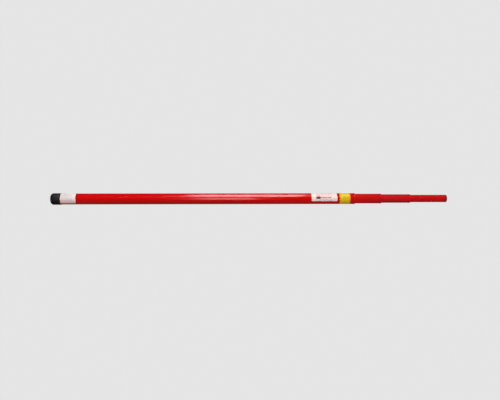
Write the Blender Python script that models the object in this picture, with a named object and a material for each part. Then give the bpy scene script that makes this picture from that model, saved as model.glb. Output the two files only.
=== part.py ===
"""Telescopic extension pole in four nested sections, collapsed and lying on its side.

Frame: +X runs from the butt to the tip, +Z is up, and the origin is the bottom centre of the
collapsed pole's bounding box. Each inner section carries an expanding twist lock on its inner end:
a split sleeve that grips the bore of the tube outside it, and a cone nut that a screw draws into it.
Lengths are in metres. X positions are measured from the butt face until they are placed.
"""

import math
from collections import namedtuple

import bmesh
import bpy
from mathutils import Matrix, Vector

MM = 0.001

# Tubes: four sections, each 4 mm smaller in diameter than the one outside it
OUTER_RADIUS = 19.0 * MM
RADIUS_STEP = 2.0 * MM
TUBE_WALL = 1.0 * MM
MOUTHS = (1053.5 * MM, 1147.5 * MM, 1250.0 * MM, 1380.0 * MM)  # outermost section first
TOTAL_LENGTH = MOUTHS[3]

# Gaps between faceted pieces
FACE_GAP = 0.3 * MM
GLUE_GAP = 0.1 * MM
LABEL_GAP = 0.06 * MM
PIN_GAP = 0.3 * MM

# Butt end
CAP_RADIUS = 20.0 * MM
CAP_LENGTH = 35.0 * MM
CAP_END_WALL = 9.0 * MM
CAP_ROUNDING = 10.0 * MM
BUMPER_LENGTH = 12.0 * MM

# Guide bushes in the tube mouths
BUSH_FLANGE_LENGTH = 6.0 * MM
BUSH_FLANGE_PROUD = 0.25 * MM
BUSH_SLEEVE_LENGTH = 50.0 * MM
BUSH_RUNNING_GAP = 0.25 * MM

# Twist locks: stations are measured from the inner end of the section's tube, towards the tip
PLUG_FLANGE_LENGTH = 8.0 * MM
PLUG_FLANGE_GAP = 0.3 * MM
PLUG_SPIGOT_LENGTH = 30.0 * MM
PLUG_CUP_FLOOR = 6.0 * MM
PLUG_CUP_WALL = 2.5 * MM
PIN_RADIUS = 1.5 * MM
PIN_STATION = 12.0 * MM
SCREW_RADIUS = 4.0 * MM
SCREW_REACH = 57.5 * MM
SCREW_HEAD_FLATS = 12.4 * MM
SCREW_HEAD_START = 0.8 * MM
SCREW_HEAD_END = 6.0 * MM
SLEEVE_START = -46.0 * MM
SLEEVE_END = -19.0 * MM
SLEEVE_RING_LENGTH = 5.0 * MM
SLEEVE_BORE_GAP = 0.4 * MM
SLEEVE_MOUTH_WALL = 2.5 * MM
SLOT_WIDTH = 3.0 * MM
CONE_START = -36.0 * MM
CONE_END = -17.0 * MM
CONE_COLLAR_LENGTH = 4.0 * MM
CONE_HALF_ANGLE = math.radians(8.0)
CONE_TRAVEL = 3.0 * MM
KEY_WIDTH = 2.2 * MM
WASHER_RADIUS = 8.0 * MM
WASHER_THICKNESS = 2.0 * MM
NUT_FLATS = 13.0 * MM
NUT_LENGTH = 6.5 * MM
REST_GAP = 0.5 * MM

# Tip: a ferrule whose barrel is flush with the tube, and an end ring round the mouth of its socket
TIP_RING_LENGTH = 8.0 * MM
TIP_RING_ROUNDING = 1.5 * MM
TIP_RING_BORE = 9.6 * MM
FERRULE_BARREL_LENGTH = 33.0 * MM
FERRULE_SPIGOT_LENGTH = 30.0 * MM
SOCKET_RADIUS = 8.3 * MM
SOCKET_DEPTH = 31.0 * MM  # from the tip's face
FERRULE_PIN_STATION = 14.0 * MM  # back from the barrel's shoulder

# Labels on the outer tube: (start, end) along X, and which facets of the tube they cover
LABEL_THICKNESS = 0.15 * MM
RATING_LABEL = (35.5 * MM, 87.5 * MM)
PRODUCT_LABEL = (900.5 * MM, 990.0 * MM)
CAUTION_BAND = (998.5 * MM, 1036.0 * MM)
RATING_FACETS = (-1, 14)
PRODUCT_FACETS = (1, 13)

# Faceting: the flats of a 32-sided piece face straight down, so that it lies still
SIDES = 32
SCREW_SIDES = 16
FACET = 2 * math.pi / SIDES
AXIS_HEIGHT = CAP_RADIUS * math.cos(FACET / 2)

COLOURS = {
    "red_paint": ((0.60, 0.008, 0.010), 0.22, 0.0),
    "red_plastic": ((0.52, 0.010, 0.010), 0.35, 0.0),
    "crimson_plastic": ((0.32, 0.006, 0.012), 0.4, 0.0),
    "black_vinyl": ((0.012, 0.011, 0.012), 0.5, 0.0),
    "dark_rubber": ((0.03, 0.03, 0.03), 0.8, 0.0),
    "white_vinyl": ((0.78, 0.76, 0.74), 0.45, 0.0),
    "yellow_vinyl": ((0.80, 0.58, 0.03), 0.4, 0.0),
    "black_nylon": ((0.02, 0.02, 0.022), 0.45, 0.0),
    "natural_nylon": ((0.74, 0.71, 0.62), 0.4, 0.0),
    "zinc_steel": ((0.62, 0.63, 0.65), 0.3, 1.0),
}

# start and end are the tube's own, and mouth is the end of the piece fitted in it
Section = namedtuple("Section", "name start end mouth outer inner")


def tube_sections():
    """The four sections, outermost first. Collapsed, the second section's screw stands on the butt
    bumper, and the sleeve of each later section on the plug of the section around it."""
    butt = CAP_END_WALL + FACE_GAP
    starts = [butt, butt + FACE_GAP + BUMPER_LENGTH + REST_GAP + SCREW_REACH]
    while len(starts) < len(MOUTHS):
        starts.append(starts[-1] + PLUG_SPIGOT_LENGTH + REST_GAP - SLEEVE_START)
    sections = []
    for index, name in enumerate(("outer", "second", "third", "tip")):
        outer = OUTER_RADIUS - index * RADIUS_STEP
        end = MOUTHS[index] - BUSH_FLANGE_LENGTH - FACE_GAP
        if name == "tip":
            end = MOUTHS[index] - TIP_RING_LENGTH - FERRULE_BARREL_LENGTH - 2 * FACE_GAP
        sections.append(Section(name, starts[index], end, MOUTHS[index], outer, outer - TUBE_WALL))
    return sections


def clear_scene():
    for old in list(bpy.data.objects):
        bpy.data.objects.remove(old, do_unlink=True)


def material(name):
    found = bpy.data.materials.get(name)
    if found:
        return found
    colour, roughness, metallic = COLOURS[name]
    made = bpy.data.materials.new(name)
    made.use_nodes = True
    shader = made.node_tree.nodes["Principled BSDF"]
    shader.inputs["Base Color"].default_value = (*colour, 1.0)
    shader.inputs["Roughness"].default_value = roughness
    shader.inputs["Metallic"].default_value = metallic
    return made


def body_empty(name, x, parent=None):
    """An empty on the pole's axis at X position x: the origin of everything on that moving body."""
    empty = bpy.data.objects.new(name, None)
    bpy.context.scene.collection.objects.link(empty)
    empty.parent = parent
    behind = parent["station"] if parent else TOTAL_LENGTH / 2
    empty["station"] = x
    empty.location = (x - behind, 0.0, 0.0 if parent else AXIS_HEIGHT)
    return empty


def add_object(name, bm, paint, parent):
    bmesh.ops.remove_doubles(bm, verts=bm.verts, dist=1e-7)
    bmesh.ops.recalc_face_normals(bm, faces=bm.faces)
    mesh = bpy.data.meshes.new(name)
    bm.to_mesh(mesh)
    bm.free()
    mesh.shade_smooth()
    mesh.set_sharp_from_angle(angle=math.radians(30))
    made = bpy.data.objects.new(name, mesh)
    bpy.context.scene.collection.objects.link(made)
    made.data.materials.append(material(paint))
    made.parent = parent
    return made


def turned(name, outline, paint, parent, sides=SIDES):
    """A solid of revolution about X from its (x, radius) outline: a closed loop, or open where
    both ends lie on the axis."""
    bm = bmesh.new()
    half_facet = Matrix.Rotation(math.pi / sides, 3, "X")
    points = [bm.verts.new(half_facet @ Vector((x, 0.0, -radius))) for x, radius in outline]
    edges = [bm.edges.new(pair) for pair in zip(points, points[1:])]
    if outline[0][1] or outline[-1][1]:
        edges.append(bm.edges.new((points[-1], points[0])))
    bmesh.ops.spin(
        bm, geom=points + edges, cent=(0, 0, 0), axis=(1, 0, 0),
        angle=2 * math.pi, steps=sides, use_merge=True,
    )
    return add_object(name, bm, paint, parent)


def wrapped_sheet(name, span, inner, facets, paint, parent):
    """A thin sheet wrapped on a tube, from one facet edge of the tube to another, counted up from
    the front."""
    outer = inner + LABEL_THICKNESS
    bm = bmesh.new()
    start = Matrix.Rotation(FACET / 2 + facets[0] * FACET, 3, "X").inverted()
    corners = [(span[0], inner), (span[1], inner), (span[1], outer), (span[0], outer)]
    face = bm.faces.new([bm.verts.new(start @ Vector((x, -r, 0.0))) for x, r in corners])
    bmesh.ops.spin(
        bm, geom=[face, *face.edges, *face.verts], cent=(0, 0, 0), axis=(-1, 0, 0),
        angle=(facets[1] - facets[0]) * FACET, steps=facets[1] - facets[0],
    )
    return add_object(name, bm, paint, parent)


def prism(bm, sides, radius, ends, axis="X"):
    """A prism between two stations along X, Y or Z, added to bm. Its first corner points up."""
    turn = {
        "X": Matrix.Rotation(math.pi / 2, 4, "Y"),
        "Y": Matrix.Rotation(-math.pi / 2, 4, "X"),
        "Z": Matrix.Identity(4),
    }[axis]
    middle = Matrix.Translation((0.0, 0.0, (ends[0] + ends[1]) / 2))
    bmesh.ops.create_cone(
        bm, cap_ends=True, segments=sides, radius1=radius, radius2=radius,
        depth=ends[1] - ends[0], matrix=turn @ middle,
    )


def box(bm, low, high):
    size = Vector(high) - Vector(low)
    place = Matrix.Translation((Vector(high) + Vector(low)) / 2) @ Matrix.Diagonal((*size, 1.0))
    bmesh.ops.create_cube(bm, size=1.0, matrix=place)


def combine(target, name, bm, operation):
    """Applies a Boolean of bm's shape to target, as a modifier with a hidden helper object."""
    helper = add_object(name, bm, "dark_rubber", target.parent)
    helper.location = target.location
    helper.hide_render = True
    helper.display_type = "WIRE"
    modifier = target.modifiers.new(name, "BOOLEAN")
    modifier.operation = operation
    modifier.object = helper
    modifier.solver = "EXACT"


def cross_hole(target, name, station, radius, reach):
    """Drills target right through along Y."""
    bm = bmesh.new()
    prism(bm, 12, radius, (-reach, reach), "Y")
    bmesh.ops.translate(bm, verts=bm.verts, vec=(station, 0.0, 0.0))
    combine(target, name, bm, "DIFFERENCE")


def plain_tube(name, section, parent):
    """A tube with its edges broken by a small chamfer, so that it slides in without scraping."""
    low = section.start - parent["station"]
    high = section.end - parent["station"]
    edge = 0.2 * MM
    outline = [
        (low, section.inner), (low, section.outer - edge), (low + edge, section.outer),
        (high - edge, section.outer), (high, section.outer - edge), (high, section.inner),
    ]
    return turned(name, outline, "red_paint", parent)


def mouth_bush(name, section, parent):
    """The guide bush glued into a tube's mouth. Its flange covers the tube's end, and the inner end
    of its sleeve is the stop for the next section's plug."""
    mouth = section.mouth - parent["station"]
    flange = section.outer + BUSH_FLANGE_PROUD
    bore = section.inner - (TUBE_WALL - BUSH_RUNNING_GAP)
    sleeve = section.inner - GLUE_GAP
    shoulder = mouth - BUSH_FLANGE_LENGTH
    edge = 0.8 * MM
    outline = [
        (shoulder - BUSH_SLEEVE_LENGTH, bore), (shoulder - BUSH_SLEEVE_LENGTH, sleeve),
        (shoulder, sleeve), (shoulder, flange),
        (mouth - edge, flange), (mouth, flange - edge), (mouth, bore),
    ]
    return turned(name, outline, "red_plastic", parent)


def quarter_round(face, radius, rounding, steps):
    """Outline points that round a left-hand end: from the face at x to the full radius."""
    points = []
    for step in range(steps + 1):
        angle = step * math.pi / 2 / steps
        points.append((
            face + rounding * (1 - math.sin(angle)),
            radius - rounding * (1 - math.cos(angle)),
        ))
    return points[::-1]


def butt_cap(parent):
    """The push-on cap: a cup with a thick rounded end and a chamfered rim."""
    bore = OUTER_RADIUS + GLUE_GAP
    rim = 0.5 * MM
    outline = [
        (0.0, 0.0), *quarter_round(0.0, CAP_RADIUS, CAP_ROUNDING, 8),
        (CAP_LENGTH - rim, CAP_RADIUS), (CAP_LENGTH, CAP_RADIUS - rim), (CAP_LENGTH, bore),
        (CAP_END_WALL, bore), (CAP_END_WALL, 0.0),
    ]
    return turned("butt_cap", outline, "black_vinyl", parent)


def butt_bumper(section, parent):
    start = section.start + FACE_GAP
    radius = section.inner - GLUE_GAP
    edge = 1.5 * MM
    outline = [
        (start, 0.0), (start, radius), (start + BUMPER_LENGTH - edge, radius),
        (start + BUMPER_LENGTH, radius - edge), (start + BUMPER_LENGTH, 0.0),
    ]
    return turned("butt_bumper", outline, "dark_rubber", parent)


def hexagon_radius(flats):
    return flats / math.sqrt(3)


def lock_plug(name, section, around, parent):
    """The plug in the section's inner end: a collar that slides in the tube around it, a spigot
    pinned into its own tube, a hexagonal seat for the screw's head and a hollow behind the head."""
    collar = around.inner - PLUG_FLANGE_GAP
    spigot = section.inner - GLUE_GAP
    cup = spigot - PLUG_CUP_WALL
    hole = SCREW_RADIUS + PIN_GAP
    back = -PLUG_FLANGE_LENGTH - FACE_GAP
    edge = 0.8 * MM
    outline = [
        (back, hole), (back, collar - edge), (back + edge, collar), (-FACE_GAP, collar),
        (-FACE_GAP, spigot), (PLUG_SPIGOT_LENGTH - edge, spigot),
        (PLUG_SPIGOT_LENGTH, spigot - edge), (PLUG_SPIGOT_LENGTH, cup), (PLUG_CUP_FLOOR, cup),
        (PLUG_CUP_FLOOR, hole),
    ]
    plug = turned(name, outline, "black_nylon", parent)
    bm = bmesh.new()
    seat = hexagon_radius(SCREW_HEAD_FLATS + 2 * PIN_GAP)
    prism(bm, 6, seat, (SCREW_HEAD_START - PIN_GAP, PLUG_CUP_FLOOR + 1 * MM))
    combine(plug, name + "_seat_cutter", bm, "DIFFERENCE")
    cross_hole(plug, name + "_pin_cutter", PIN_STATION, PIN_RADIUS + PIN_GAP, around.inner)
    return plug


def cross_pin(name, section, station, parent):
    """A pin along Y through a tube and what is fitted in it. Its ends stay just under the tube's
    surface."""
    reach = section.outer - 0.2 * MM
    bm = bmesh.new()
    prism(bm, 12, PIN_RADIUS, (-reach, reach), "Y")
    bmesh.ops.translate(bm, verts=bm.verts, vec=(station, 0.0, 0.0))
    return add_object(name, bm, "zinc_steel", parent)


def lock_screw(name, parent):
    """The screw: a hexagonal head seated in the plug, and a shank that reaches through the lock."""
    overlap = 1 * MM
    tip_edge = 0.8 * MM
    outline = [
        (-SCREW_REACH, 0.0), (-SCREW_REACH, SCREW_RADIUS - tip_edge),
        (-SCREW_REACH + tip_edge, SCREW_RADIUS), (SCREW_HEAD_START + overlap, SCREW_RADIUS),
        (SCREW_HEAD_START + overlap, 0.0),
    ]
    screw = turned(name, outline, "zinc_steel", parent, SCREW_SIDES)
    bm = bmesh.new()
    prism(bm, 6, hexagon_radius(SCREW_HEAD_FLATS), (SCREW_HEAD_START, SCREW_HEAD_END))
    combine(screw, name + "_head", bm, "UNION")
    return screw


def cone_radius(around, station):
    """The cone nut's radius at a station. It leaves the sleeve's taper clear at the end of its
    travel."""
    sleeve_mouth = around.inner - SLEEVE_BORE_GAP - SLEEVE_MOUTH_WALL
    spread = CONE_TRAVEL * math.tan(CONE_HALF_ANGLE) + GLUE_GAP
    return sleeve_mouth - spread + (station - SLEEVE_END) * math.tan(CONE_HALF_ANGLE)


def cone_nut(name, around, parent):
    """The nut that the screw draws into the sleeve, with four keys that ride in the sleeve's
    slots."""
    bore = SCREW_RADIUS + 0.4 * MM
    collar = cone_radius(around, CONE_END)
    outline = [
        (CONE_START, bore), (CONE_START, cone_radius(around, CONE_START)), (CONE_END, collar),
        (CONE_END + CONE_COLLAR_LENGTH, collar), (CONE_END + CONE_COLLAR_LENGTH, bore),
    ]
    nut = turned(name, outline, "black_nylon", parent)
    key_top = around.inner - SLEEVE_BORE_GAP - 1.0 * MM
    key_root = cone_radius(around, CONE_START) - 1.0 * MM
    key_back = CONE_START + 4.0 * MM
    key_front = CONE_END + CONE_COLLAR_LENGTH - 1.0 * MM
    for index in range(4):
        bm = bmesh.new()
        box(bm, (key_back, -KEY_WIDTH / 2, key_root), (key_front, KEY_WIDTH / 2, key_top))
        bmesh.ops.rotate(
            bm, verts=bm.verts, matrix=Matrix.Rotation(index * math.pi / 2, 3, "X"),
        )
        combine(nut, f"{name}_key_{index}", bm, "UNION")
    return nut


def expander_sleeve(name, around, parent):
    """The split sleeve: a closed ring round the screw, and four fingers with a tapered bore."""
    outer = around.inner - SLEEVE_BORE_GAP
    ring_bore = SCREW_RADIUS + 0.5 * MM
    ring_end = SLEEVE_START + SLEEVE_RING_LENGTH
    edge = 1.0 * MM
    mouth = outer - SLEEVE_MOUTH_WALL
    root = mouth - (SLEEVE_END - ring_end) * math.tan(CONE_HALF_ANGLE)
    outline = [
        (SLEEVE_START, ring_bore), (SLEEVE_START, outer - edge), (SLEEVE_START + edge, outer),
        (SLEEVE_END - edge, outer), (SLEEVE_END, outer - edge), (SLEEVE_END, mouth),
        (ring_end, root), (ring_end, ring_bore),
    ]
    sleeve = turned(name, outline, "natural_nylon", parent)
    slot_start = ring_end + 1.5 * MM
    reach = around.inner + 1 * MM
    for label, size in (("a", (SLOT_WIDTH / 2, reach)), ("b", (reach, SLOT_WIDTH / 2))):
        bm = bmesh.new()
        box(bm, (slot_start, -size[0], -size[1]), (SLEEVE_END + 1 * MM, size[0], size[1]))
        combine(sleeve, f"{name}_slot_{label}", bm, "DIFFERENCE")
    return sleeve


def thrust_washer(name, parent):
    front = SLEEVE_START - FACE_GAP
    hole = SCREW_RADIUS + PIN_GAP
    outline = [
        (front - WASHER_THICKNESS, hole), (front - WASHER_THICKNESS, WASHER_RADIUS),
        (front, WASHER_RADIUS), (front, hole),
    ]
    return turned(name, outline, "zinc_steel", parent, 24)


def end_nut(name, parent):
    """The nut that keeps the lock on its screw."""
    front = SLEEVE_START - 2 * FACE_GAP - WASHER_THICKNESS
    bm = bmesh.new()
    prism(bm, 6, hexagon_radius(NUT_FLATS), (front - NUT_LENGTH, front))
    nut = add_object(name, bm, "zinc_steel", parent)
    bm = bmesh.new()
    prism(bm, SCREW_SIDES, SCREW_RADIUS + PIN_GAP, (front - NUT_LENGTH - 1 * MM, front + 1 * MM))
    bmesh.ops.rotate(bm, verts=bm.verts, matrix=Matrix.Rotation(math.pi / SCREW_SIDES, 3, "X"))
    combine(nut, name + "_bore", bm, "DIFFERENCE")
    return nut


def inner_section(section, around, parent):
    """One inner section and its lock. The sleeve body slides, the tube turns on it, and the cone
    nut moves along the sleeve."""
    name = section.name
    sleeve_body = body_empty(name + "_sleeve_body", section.start, parent)
    tube_body = body_empty(name + "_section_body", section.start, sleeve_body)
    cone_body = body_empty(name + "_cone_body", section.start, sleeve_body)
    expander_sleeve(name + "_expander_sleeve", around, sleeve_body)
    cone_nut(name + "_cone_nut", around, cone_body)
    tube = plain_tube(name + "_tube", section, tube_body)
    cross_hole(tube, name + "_tube_pin_cutter", PIN_STATION, PIN_RADIUS + PIN_GAP, around.inner)
    lock_plug(name + "_lock_plug", section, around, tube_body)
    cross_pin(name + "_plug_pin", section, PIN_STATION, tube_body)
    lock_screw(name + "_lock_screw", tube_body)
    thrust_washer(name + "_thrust_washer", tube_body)
    end_nut(name + "_end_nut", tube_body)
    return tube_body, tube


def tip_ferrule(section, shoulder, parent):
    """The ferrule with its socket for a roller frame, drawn with a plain hole at the thread's mean
    size. Its spigot is pinned in the tube, and its barrel starts at the shoulder."""
    front = shoulder + FERRULE_BARREL_LENGTH
    back = shoulder - FERRULE_SPIGOT_LENGTH
    floor = section.mouth - parent["station"] - SOCKET_DEPTH
    spigot = section.inner - GLUE_GAP
    edge = 0.6 * MM
    outline = [
        (back, 0.0), (back, spigot - edge), (back + edge, spigot), (shoulder, spigot),
        (shoulder, section.outer), (front, section.outer), (front, SOCKET_RADIUS),
        (floor, SOCKET_RADIUS), (floor, 0.0),
    ]
    return turned("tip_ferrule", outline, "red_paint", parent)


def tip_ring(section, parent):
    """The darker ring round the socket's mouth, with a rounded outer edge."""
    face = section.mouth - parent["station"]
    back = face - TIP_RING_LENGTH
    rounded = quarter_round(0.0, section.outer, TIP_RING_ROUNDING, 3)
    outline = [
        (back, TIP_RING_BORE), (back, section.outer),
        *((face - x, radius) for x, radius in reversed(rounded)), (face, TIP_RING_BORE),
    ]
    return turned("tip_ring", outline, "crimson_plastic", parent)


def tip_end(section, tube, parent):
    shoulder = section.end + FACE_GAP - parent["station"]
    ferrule = tip_ferrule(section, shoulder, parent)
    tip_ring(section, parent)
    station = shoulder - FERRULE_PIN_STATION
    for target in (tube, ferrule):
        helper = target.name + "_end_pin_cutter"
        cross_hole(target, helper, station, PIN_RADIUS + PIN_GAP, OUTER_RADIUS)
    cross_pin("tip_ferrule_pin", section, station, parent)


def build():
    clear_scene()
    sections = tube_sections()
    root = body_empty("outer_section_body", 0.0)
    plain_tube("outer_tube", sections[0], root)
    butt_cap(root)
    butt_bumper(sections[0], root)
    mouth_bush("outer_mouth_bush", sections[0], root)
    on_tube = OUTER_RADIUS + LABEL_GAP
    wrapped_sheet("rating_label", RATING_LABEL, on_tube, RATING_FACETS, "white_vinyl", root)
    wrapped_sheet("product_label", PRODUCT_LABEL, on_tube, PRODUCT_FACETS, "white_vinyl", root)
    band = [
        (CAUTION_BAND[0], on_tube), (CAUTION_BAND[1], on_tube),
        (CAUTION_BAND[1], on_tube + LABEL_THICKNESS), (CAUTION_BAND[0], on_tube + LABEL_THICKNESS),
    ]
    turned("caution_band", band, "yellow_vinyl", root)

    parent = root
    for around, section in zip(sections, sections[1:]):
        parent, tube = inner_section(section, around, parent)
        if section.name != "tip":
            mouth_bush(section.name + "_mouth_bush", section, parent)
    tip_end(section, tube, parent)


build()
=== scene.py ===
"""The looks of a telescopic extension pole: lacquered tubes, printed labels, moulded end pieces, and
the twist locks inside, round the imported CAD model.

The pole lies along X with its butt at -X, and +Z is up. Round CAD pieces are 32-sided. Each piece
here that replaces one is turned inside the CAD outline, so that it stays in the model's box. The
angle round the pole counts from the front (-Y) up over the top. Lengths are in metres.
"""

import math
from collections import namedtuple

import bmesh
import bpy
from mathutils import Matrix, Vector


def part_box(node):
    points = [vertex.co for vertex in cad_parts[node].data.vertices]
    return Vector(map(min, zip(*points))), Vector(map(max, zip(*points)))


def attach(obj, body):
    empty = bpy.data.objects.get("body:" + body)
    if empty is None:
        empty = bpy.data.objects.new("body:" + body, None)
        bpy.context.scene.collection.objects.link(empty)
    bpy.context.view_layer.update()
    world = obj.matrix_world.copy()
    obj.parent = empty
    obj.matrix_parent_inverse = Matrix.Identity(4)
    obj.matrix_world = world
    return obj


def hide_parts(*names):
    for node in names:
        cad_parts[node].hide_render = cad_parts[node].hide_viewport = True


MM = 0.001
SIDES = 96
INSIDE_FACETS = math.cos(math.pi / 32)  # a circle inside 32 sides, as a share of their radius

# The camera: where it looks on the pole, how far off, and its turn off the square view
CAMERA_AIM = -3.8 * MM
CAMERA_DISTANCE = 2.0
CAMERA_YAW = math.radians(2.2)
CAMERA_ELEVATION = math.radians(45.0)
CAMERA_ROLL = math.radians(-0.09)
CAMERA_DROP = 4.4 * MM
CAMERA_LENS = 41.226

# The stage and its lights. A light's angle counts up from the camera's direction, and its size is
# given along the pole and across it. Lights that draw a glint light nothing else.
PALE = 0.787
STAGE_REACH = 14.0
STAGE_SIDES = 64
SKY_STRENGTH = 0.05
Panel = namedtuple("Panel", "name x angle distance size watts glint")
PANELS = (
    Panel("key", 0.0, 43.0, 2.5, (3.0, 0.8), 84.0, False),
    Panel("upper_glint", 0.104, 69.0, 1.2, (0.832, 1.05), 28.0, True),
    Panel("lower_glint", -0.042, 1.5, 1.2, (0.45, 0.90), 5.4, True),
)

# Tubes, and the gaps round what fits them
TUBE_WALL = 1.0 * MM * INSIDE_FACETS
TUBE_EDGE = 0.3 * MM
GLUE_GAP = 0.1 * MM  # between round fits
FACE_GAP = 0.3 * MM  # between a tube's end and the shoulder that it meets

# Cross pins, and the holes for them
PIN_SIDES = 24
PIN_CHAMFER = 0.3 * MM
PIN_HOLE = 1.6 * MM
PIN_RINGS = (1.2 * PIN_HOLE, 3.0 * MM)  # on each side of a hole
CUT_MARGIN = 1.0 * MM  # how far a cutter reaches past what it cuts

# Labels: corner radius, film thickness, and the arc that each covers
FILM = 0.14 * MM
FILM_GAP = 0.05 * MM
CORNER = 3.0 * MM
CORNER_STEPS = 6
FILM_COLUMNS = 24
FILM_ROW = math.radians(3.0)
RATING_ARC = (math.radians(-5.6), math.radians(163.1))
PRODUCT_ARC = (math.radians(16.9), math.radians(151.9))
BAND_ARC = (math.radians(-130.0), math.radians(236.0))
BAND_LAP = 0.16 * MM  # how far the band's last stretch climbs over its start
PAST_BAND = 200.0 * MM  # farther than the band goes round
LAP_LENGTH = 4.0 * MM
LAP_CLIMB = 2.0 * MM

# Butt cap and bumper
CAP_ROUNDING = 10.0 * MM
CAP_FLOOR = 9.0 * MM
CAP_DISH = 0.4 * MM
CAP_DISH_EDGE = (8.2 * MM, 8.8 * MM)
CAP_SPRUE = (0.8 * MM, 1.2 * MM)
CAP_RING = (5.0 * MM, 6.2 * MM)
CAP_RELIEF = 0.3 * MM  # how high the sprue is and how deep the ring round it
CAP_LIP = 0.45  # the open rim's rounding, as a share of the wall
CAP_GROOVE = (3.6 * MM, 2.2 * MM)  # from the open rim
CAP_GROOVE_SIDE = 0.4 * MM
CAP_GROOVE_DEPTH = 0.2 * MM
CAP_SCUFF_AND_RIM_LIGHT = (7.0 * MM, 1.0 * MM)  # where the paler end begins, and where it is palest; partly scuffs, partly a painted rim highlight
BUMPER_GROOVES = (4.0 * MM, 7.0 * MM)
BUMPER_GROOVE_HALF = 0.8 * MM
BUMPER_GROOVE_DEPTH = 0.7 * MM
BUMPER_CHAMFER = 0.6 * MM
BUMPER_EDGE = 1.5 * MM

# Bushes
BUSH_BORE = 0.75 * MM  # how far a bush's bore is inside the tube's
BUSH_TAPER = (0.4 * MM, 0.2 * MM)  # the chamfer of its inner end, along the pole and across it
BUSH_BREAK = 0.15 * MM
BUSH_EDGE = 0.9 * MM
BUSH_LEAD = 0.5 * MM

# Twist locks
PLUG_EDGE = 0.8 * MM
PLUG_GROOVE = (2.6 * MM, 5.2 * MM)  # from the collar's back
PLUG_GROOVE_DEPTH = 0.5 * MM
PLUG_SPIGOT = 30.0 * MM
PLUG_CUP_FLOOR = 6.0 * MM
PLUG_CUP_WALL = 2.5 * MM
PLUG_CUP_LIP = 0.3 * MM
SEAT_FLATS = 12.9 * MM
SEAT_START = 0.6 * MM
SCREW_HOLE = 4.2 * MM
SCREW_HEAD_START = 0.8 * MM
SCREW_RADIUS = 4.0 * MM
SCREW_PITCH = 3.0 * MM  # how far a turn draws the cone nut
SCREW_DEPTH = 0.9 * MM
SCREW_RINGS = 14  # of vertices to a turn of its thread
SCREW_NECK = 4.0 * MM  # the stretch behind the head that has none of them
SCREW_POINT = (0.6 * MM, 0.2 * MM)  # its chamfered end, along the pole and across it
SCREW_GROWTH = (0.4 * MM, 1.2 * MM)  # where the thread starts to grow, and over what length
SCREW_RUNOUT = (3.0 * MM, 2.0 * MM)  # where it ends before the head, and over what length
SMALL_SIDES = 48
HEX_CHAMFER = 0.6 * MM
HEX_SLOPE = 0.5 * MM
NUT_CLEARANCE = 0.15 * MM
NUT_SINK = 0.4 * MM
WASHER_CLEARANCE = 0.3 * MM
WASHER_EDGE = 0.3 * MM
WASHER_BREAK = 0.1 * MM
SLEEVE_CLEARANCE = 0.5 * MM
SLEEVE_EDGE = 1.0 * MM
SLEEVE_RING = 5.0 * MM
SLEEVE_RIBS = 6
SLEEVE_RIB_DEPTH = 0.4 * MM
SLEEVE_VALLEY = (0.15, 0.45)  # where the hollow between two ribs lies, as shares of their pitch
SLEEVE_RIB = 0.6  # where the rib starts
SLEEVE_PLAIN = 2.0 * MM
SLEEVE_MOUTH_WALL = 2.5 * MM
SLOT_WIDTH = 3.0 * MM
SLOT_START = 1.5 * MM  # from the ring's end
SLOT_ROUND = 1.15 * SLOT_WIDTH / 2
CONE_SLOPE = math.tan(math.radians(8.0))
CONE_TRAVEL = 3.0 * MM
CONE_COLLAR = 4.0 * MM
CONE_BREAK = 0.4 * MM
CONE_EDGE = 0.6 * MM
CONE_SINK = 0.5 * MM
KEY_WIDTH = 2.2 * MM
KEY_BACK = 4.0 * MM  # from the nut's back
KEY_FRONT = 1.0 * MM  # from the nut's front
KEY_ROOT = 1.0 * MM  # how far it is let into the cone

# Tip socket: a 3/4 inch roller thread, five to the inch
THREAD_PITCH = 5.08 * MM
THREAD_BOTTOM = 9.3 * MM
THREAD_TOP = 7.3 * MM
THREAD_RINGS = 12  # of vertices to a turn
THREAD_FLAT = 0.15  # half the flat of a crest or a root, as a share of the pitch
SOCKET_DEPTH = 31.0 * MM
SOCKET_PLAIN = 1.5 * MM  # the stretch at its floor that has none of them
SOCKET_GROWTH = (1.0 * MM, 3.0 * MM)  # where the thread starts to grow, and over what length
SOCKET_LEAD = 1.5 * MM
SOCKET_FLOOR = (1.0 * MM, 0.4 * MM)  # its coned floor, along the pole and across it
FERRULE_BARREL = 33.0 * MM
FERRULE_EDGE = 0.6 * MM
FERRULE_BREAK = 0.2 * MM
RING_BORE = 9.7 * MM
RING_ROUNDING = 1.5 * MM
RING_BREAK = 0.2 * MM
RING_LEAD = 0.4 * MM

# Inks of the prints
PINK = (0.86, 0.44, 0.45)
GREY = (0.36, 0.35, 0.33)
PEACH = (0.92, 0.72, 0.58)
ROSE = (0.80, 0.34, 0.36)
BROWN = (0.42, 0.36, 0.33)
RULE_RED = (0.32, 0.05, 0.05)
RULE_END_RED = (0.20, 0.03, 0.04)
STRIPE_RED = (0.72, 0.20, 0.24)
BLOCK_RED = (0.08, 0.003, 0.01)
OLIVE = (0.52, 0.47, 0.001)
UMBER = (0.20, 0.13, 0.01)
ORANGE = (0.74, 0.22, 0.01)

# Lacquer of each section: its two tones, and how much its scratches roughen it
REDS = {
    "outer": ((0.62, 0.0015, 0.0012), (0.57, 0.0010, 0.0009), 0.05),
    "second": ((0.60, 0.0040, 0.0050), (0.55, 0.0030, 0.0040), 0.20),
    "third": ((0.59, 0.0060, 0.0110), (0.54, 0.0040, 0.0080), 0.20),
    "tip": ((0.58, 0.0050, 0.0050), (0.53, 0.0035, 0.0040), 0.16),
}

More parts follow.
